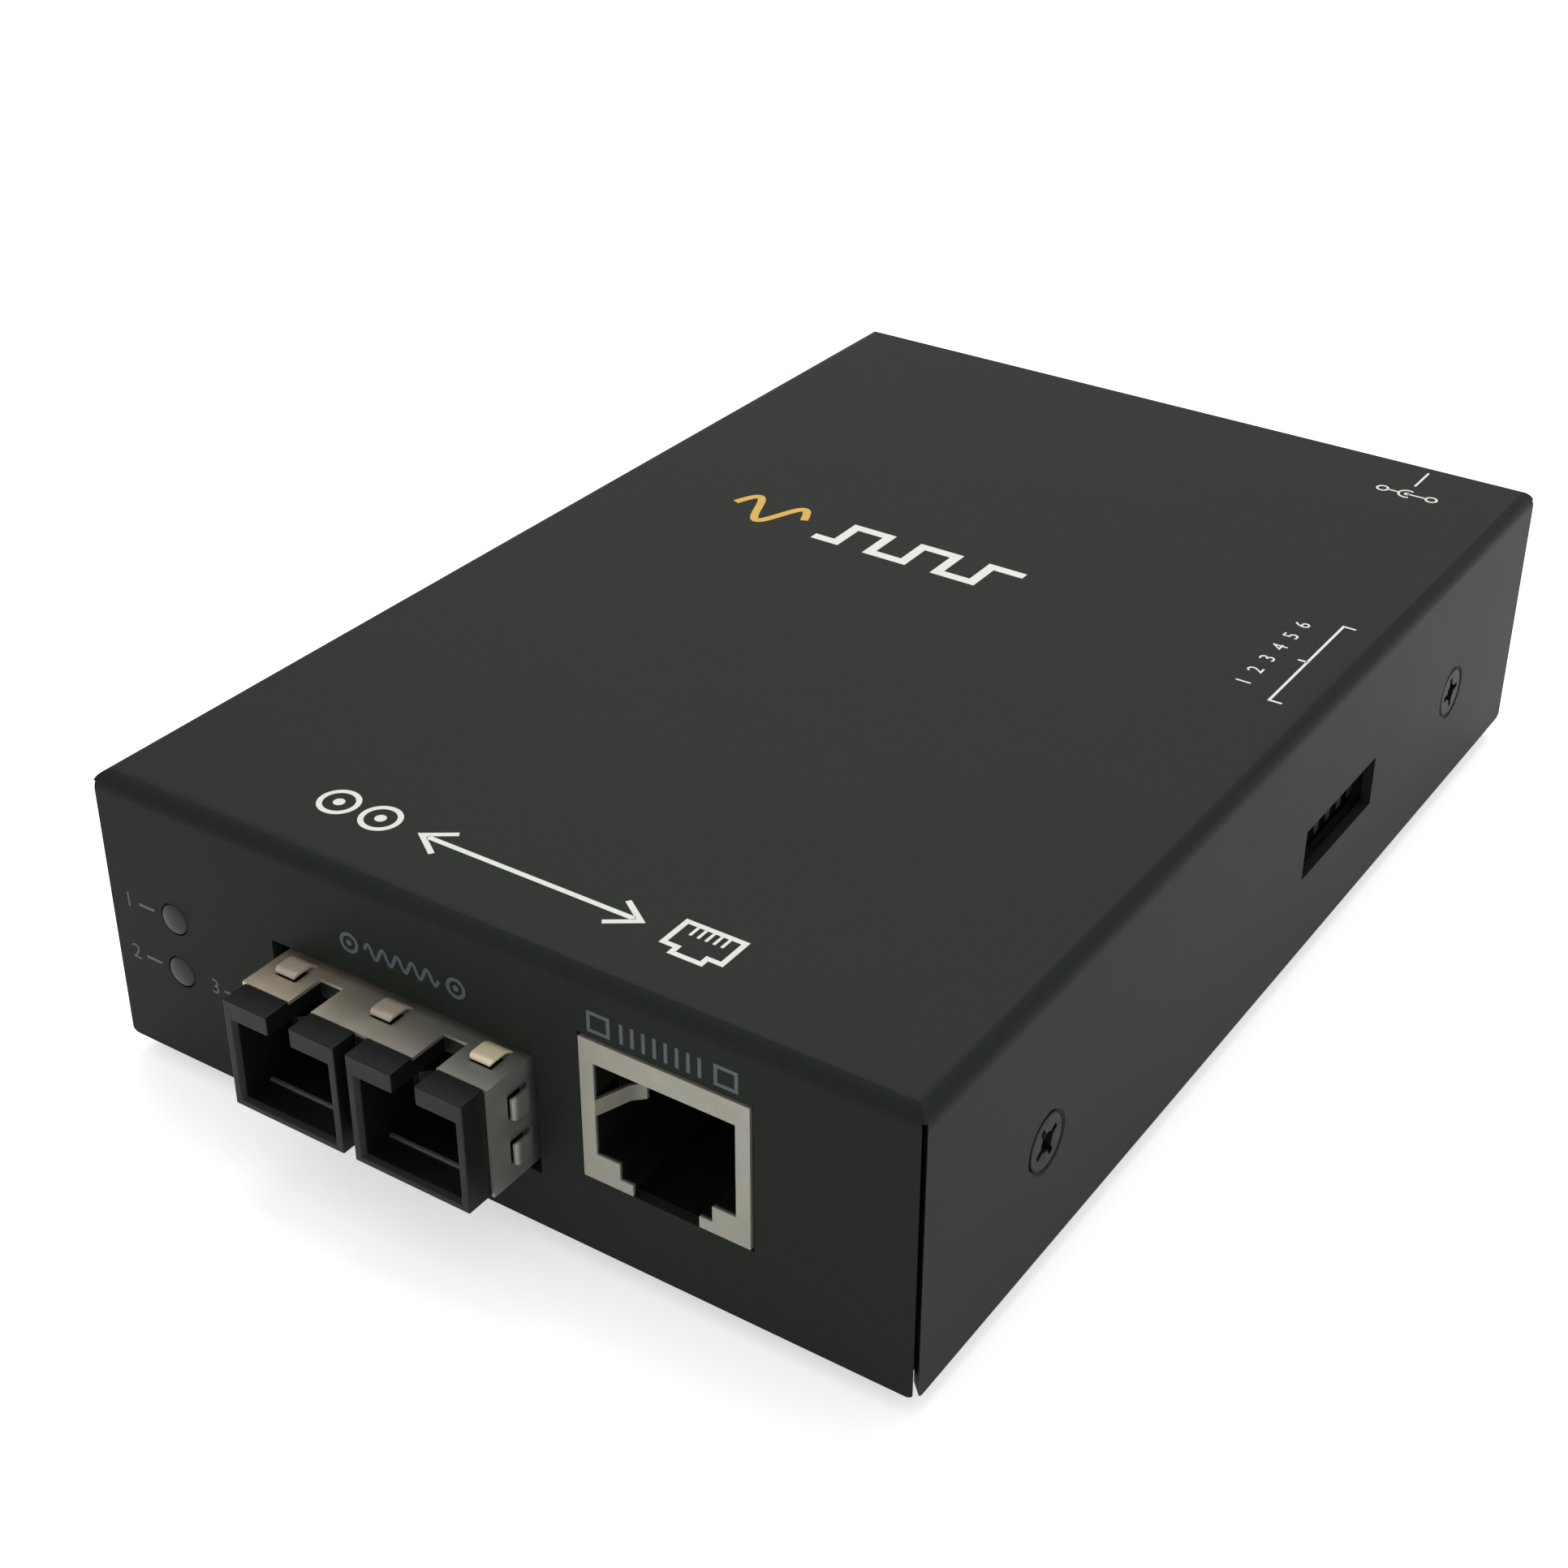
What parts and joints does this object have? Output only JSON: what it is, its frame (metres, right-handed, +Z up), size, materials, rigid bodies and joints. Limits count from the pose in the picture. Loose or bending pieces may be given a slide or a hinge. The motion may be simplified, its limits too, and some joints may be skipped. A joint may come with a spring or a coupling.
{
  "type": "fibre media converter",
  "caption": "Stand-alone media converter in a folded steel case, joining a copper network socket to a twin fibre receptacle, with setting switches and a power inlet.",
  "frame": {"origin": "on the surface that the feet stand on, in the middle of the overall length and width", "axes": "+Z up, -Y towards the connector side, +X to the right seen from the connector side"},
  "size_m": [0.08, 0.127, 0.0285],
  "materials": {
    "case_paint": "fine-texture black powder coat, satin",
    "screw_black": "black zinc-plated steel, satin",
    "foot_rubber": "moulded rubber, matt",
    "board_laminate": "green solder mask on glass laminate",
    "bare_steel": "nickel-plated steel, satin",
    "tinned_shield": "tin-plated sheet, dull",
    "gold_contact": "gold-plated spring wire",
    "port_plastic": "moulded black thermoplastic",
    "lamp_plastic": "diffused lens, unlit",
    "slider_plastic": "moulded dark thermoplastic",
    "chip_plastic": "black moulding compound",
    "can_aluminium": "drawn can"
  },
  "bodies": {
    "converter": {"top_cover": "case_paint", "base_tray": "case_paint", "cover_screws": "screw_black", "rubber_feet": "foot_rubber", "circuit_board": "board_laminate", "board_posts": "bare_steel", "board_screws": "bare_steel", "fibre_housing": "port_plastic", "fibre_shield": "tinned_shield", "ferrule_sleeves": "bare_steel", "latch_arms": "port_plastic", "fibre_pins": "bare_steel", "copper_shield": "tinned_shield", "copper_housing": "port_plastic", "copper_contacts": "gold_contact", "lamp_holders": "port_plastic", "indicator_lamps": "lamp_plastic", "lamp_leads": "bare_steel", "switch_body": "port_plastic", "switch_pins": "bare_steel", "power_inlet": "port_plastic", "inlet_pin": "bare_steel", "inlet_contacts": "bare_steel", "converter_chip": "chip_plastic", "chip_legs": "bare_steel", "line_transformer": "chip_plastic", "capacitors": "can_aluminium", "power_inductor": "chip_plastic", "crystal_can": "can_aluminium"},
    "slider_1": {"switch_slider_1": "slider_plastic"},
    "slider_2": {"switch_slider_2": "slider_plastic"},
    "slider_3": {"switch_slider_3": "slider_plastic"},
    "slider_4": {"switch_slider_4": "slider_plastic"},
    "slider_5": {"switch_slider_5": "slider_plastic"},
    "slider_6": {"switch_slider_6": "slider_plastic"}
  },
  "joints": [
    {"name": "slider_1_slide", "type": "slide", "parent": "converter", "child": "slider_1", "axis": [0, 0, 1], "range_m": [0, 0.0015]},
    {"name": "slider_2_slide", "type": "slide", "parent": "converter", "child": "slider_2", "axis": [0, 0, 1], "range_m": [0, 0.0015]},
    {"name": "slider_3_slide", "type": "slide", "parent": "converter", "child": "slider_3", "axis": [0, 0, 1], "range_m": [0, 0.0015]},
    {"name": "slider_4_slide", "type": "slide", "parent": "converter", "child": "slider_4", "axis": [0, 0, 1], "range_m": [0, 0.0015]},
    {"name": "slider_5_slide", "type": "slide", "parent": "converter", "child": "slider_5", "axis": [0, 0, 1], "range_m": [0, 0.0015]},
    {"name": "slider_6_slide", "type": "slide", "parent": "converter", "child": "slider_6", "axis": [0, 0, 1], "range_m": [0, 0.0015]}
  ]
}
